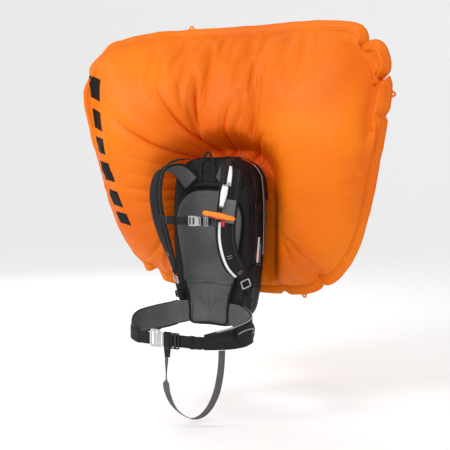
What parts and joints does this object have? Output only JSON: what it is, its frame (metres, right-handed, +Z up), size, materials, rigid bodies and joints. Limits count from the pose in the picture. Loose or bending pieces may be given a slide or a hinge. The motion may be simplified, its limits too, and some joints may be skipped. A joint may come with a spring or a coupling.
{
  "type": "avalanche airbag backpack",
  "caption": "Ski touring backpack with padded harness, hip belt, leg strap and trigger handle, shown with its large pillow-shaped airbag inflated behind it.",
  "frame": {"origin": "centre of the lumbar pad's flat contact face, which rests on the wearer's back", "axes": "+Z up, -Y out of the lumbar pad towards the wearer, +X towards the wearer's left"},
  "size_m": [1.1768, 0.6045, 1.2552],
  "materials": {
    "black_fabric": "woven ripstop nylon, matt",
    "grey_foam": "moulded foam under brushed knit",
    "black_webbing": "woven webbing",
    "grey_webbing": "woven webbing",
    "white_fabric": "coated fabric",
    "red_fabric": "woven tag",
    "orange_nylon": "coated nylon, taut",
    "silver_tape": "coated zip tape",
    "black_plastic": "moulded, fine texture",
    "orange_plastic": "soft moulded grip",
    "silver_metal": "satin",
    "steel": "brushed"
  },
  "bodies": {
    "pack": {"pack_shell": "black_fabric", "back_sheet": "black_fabric", "yoke_panel": "black_fabric", "burst_flap": "black_fabric", "shoulder_strap_right": "black_fabric", "shoulder_strap_left": "black_fabric", "back_pad": "grey_foam", "lumbar_pad": "grey_foam", "side_strap_right": "black_webbing", "side_strap_left": "black_webbing", "load_lifter_right": "black_webbing", "load_lifter_left": "black_webbing", "lower_webbing_right": "black_webbing", "lower_webbing_left": "black_webbing", "inflation_unit": "black_plastic", "airbag_inlet_ring": "black_plastic", "gas_hose": "black_plastic", "trigger_cable": "black_plastic", "frame_rod": "silver_metal", "firing_head": "silver_metal", "strap_ring_right": "silver_metal", "strap_ring_left": "silver_metal", "main_zip": "silver_tape", "airbag": "orange_nylon", "handle_pocket": "white_fabric"},
    "haul_loop": {"haul_loop": "black_webbing"},
    "main_zip_slider": {"main_zip_slider": "silver_metal"},
    "main_zip_pull": {"main_zip_pull": "silver_metal"},
    "gas_cartridge": {"gas_cartridge": "steel"},
    "firing_lever": {"firing_lever": "steel"},
    "side_plug_right": {"side_buckle_plug_right": "black_plastic"},
    "side_plug_left": {"side_buckle_plug_left": "black_plastic"},
    "lifter_lock_right": {"lifter_lock_right": "black_plastic"},
    "lifter_lock_left": {"lifter_lock_left": "black_plastic"},
    "ladder_lock_right": {"ladder_lock_right": "black_plastic"},
    "ladder_lock_left": {"ladder_lock_left": "black_plastic"},
    "chest_strap": {"chest_slider_right": "black_plastic", "chest_slider_left": "black_plastic", "chest_webbing_right": "black_webbing", "chest_webbing_left": "black_webbing", "chest_buckle_frame": "silver_metal", "chest_adjuster": "steel"},
    "chest_hook": {"chest_buckle_hook": "silver_metal"},
    "trigger": {"trigger_handle": "orange_plastic", "trigger_handle_screw": "steel", "trigger_cable_end": "black_plastic"},
    "safety_tag": {"safety_tag": "red_fabric"},
    "pocket_zip_slider": {"pocket_zip_slider": "steel"},
    "belt_right": {"hip_wing_right": "black_fabric", "hip_webbing_right": "black_webbing", "hip_buckle_frame": "silver_metal"},
    "belt_left": {"hip_wing_left": "black_fabric", "hip_webbing_left": "black_webbing", "hip_pocket": "black_fabric", "leg_strap_keeper": "black_webbing"},
    "hip_hook": {"hip_buckle_hook": "silver_metal"},
    "tri_glide": {"hip_tri_glide": "black_plastic"},
    "hip_pocket_slider": {"hip_pocket_slider": "steel"},
    "leg_strap": {"leg_strap": "grey_webbing"}
  },
  "joints": [
    {"name": "haul_loop_fold", "type": "hinge", "parent": "pack", "child": "haul_loop", "pos_m": [0, -0.008, 0.408], "axis": [1, 0, 0], "range_deg": [0, 80]},
    {"name": "main_zip_slide", "type": "slide", "parent": "pack", "child": "main_zip_slider", "axis": [0, 0, -1], "range_m": [0, 0.09]},
    {"name": "main_zip_pull_swing", "type": "hinge", "parent": "main_zip_slider", "child": "main_zip_pull", "pos_m": [0.1485, 0.126, 0.3005], "axis": [0, -1, 0], "range_deg": [0, 80]},
    {"name": "cartridge_screw", "type": "hinge", "parent": "pack", "child": "gas_cartridge", "pos_m": [-0.058, 0.078, 0.2], "axis": [0, 0, 1], "continuous": true},
    {"name": "firing_lever_turn", "type": "hinge", "parent": "pack", "child": "firing_lever", "pos_m": [-0.058, 0.066, 0.311], "axis": [1, 0, 0], "range_deg": [0, 20]},
    {"name": "side_plug_release_right", "type": "slide", "parent": "pack", "child": "side_plug_right", "axis": [0, 1, 0], "range_m": [0, 0.012]},
    {"name": "side_plug_release_left", "type": "slide", "parent": "pack", "child": "side_plug_left", "axis": [0, 1, 0], "range_m": [0, 0.012]},
    {"name": "lifter_lock_tilt_right", "type": "hinge", "parent": "pack", "child": "lifter_lock_right", "pos_m": [-0.089, -0.035, 0.4766], "axis": [0.9439, -0.3304, 0], "range_deg": [0, 25]},
    {"name": "lifter_lock_tilt_left", "type": "hinge", "parent": "pack", "child": "lifter_lock_left", "pos_m": [0.089, -0.035, 0.4766], "axis": [0.9439, 0.3304, 0], "range_deg": [0, 25]},
    {"name": "ladder_lock_tilt_right", "type": "hinge", "parent": "pack", "child": "ladder_lock_right", "pos_m": [-0.1084, -0.0078, 0.0175], "axis": [1, 0, 0], "range_deg": [0, 25]},
    {"name": "ladder_lock_tilt_left", "type": "hinge", "parent": "pack", "child": "ladder_lock_left", "pos_m": [0.1374, 0.0349, 0.0467], "axis": [-0.0918, -0.3854, -0.9182], "range_deg": [0, 25]},
    {"name": "chest_strap_height", "type": "slide", "parent": "pack", "child": "chest_strap", "axis": [0, 0.12, -0.9928], "range_m": [0, 0.03]},
    {"name": "chest_hook_release", "type": "hinge", "parent": "chest_strap", "child": "chest_hook", "pos_m": [0.05, -0.1476, 0.286], "axis": [0, 0, 1], "range_deg": [0, 60]},
    {"name": "trigger_pull", "type": "slide", "parent": "pack", "child": "trigger", "axis": [-0.1847, -0.071, -0.9802], "range_m": [0, 0.045]},
    {"name": "safety_tag_swing", "type": "hinge", "parent": "trigger", "child": "safety_tag", "pos_m": [0.137, -0.157, 0.2895], "axis": [1, 0, 0], "range_deg": [-30, 30]},
    {"name": "pocket_zip_slide", "type": "slide", "parent": "pack", "child": "pocket_zip_slider", "axis": [-0.015, 0.2739, 0.9616], "range_m": [0, 0.012]},
    {"name": "belt_swing_right", "type": "hinge", "parent": "pack", "child": "belt_right", "pos_m": [-0.113, -0.0026, -0.033], "axis": [0, 0, -1], "range_deg": [0, 35]},
    {"name": "belt_swing_left", "type": "hinge", "parent": "pack", "child": "belt_left", "pos_m": [0.113, -0.0026, -0.033], "axis": [0, 0, 1], "range_deg": [0, 35]},
    {"name": "hip_hook_release", "type": "hinge", "parent": "belt_left", "child": "hip_hook", "pos_m": [-0.024, -0.2554, -0.075], "axis": [0, 0, 1], "range_deg": [0, 60]},
    {"name": "tri_glide_slide", "type": "slide", "parent": "belt_left", "child": "tri_glide", "axis": [1, 0, 0], "range_m": [0, 0.03]},
    {"name": "hip_pocket_slide", "type": "slide", "parent": "belt_left", "child": "hip_pocket_slider", "axis": [0.054, -0.9985, 0], "range_m": [0, 0.02]},
    {"name": "leg_strap_swing", "type": "hinge", "parent": "belt_left", "child": "leg_strap", "pos_m": [-0.01, -0.251, -0.1305], "axis": [0.9493, 0.2684, 0.1639], "range_deg": [-22, 22]}
  ],
  "couplings": [
    {"joint": "firing_lever_turn", "follows": "trigger_pull", "rad_per_m": 7.7}
  ]
}
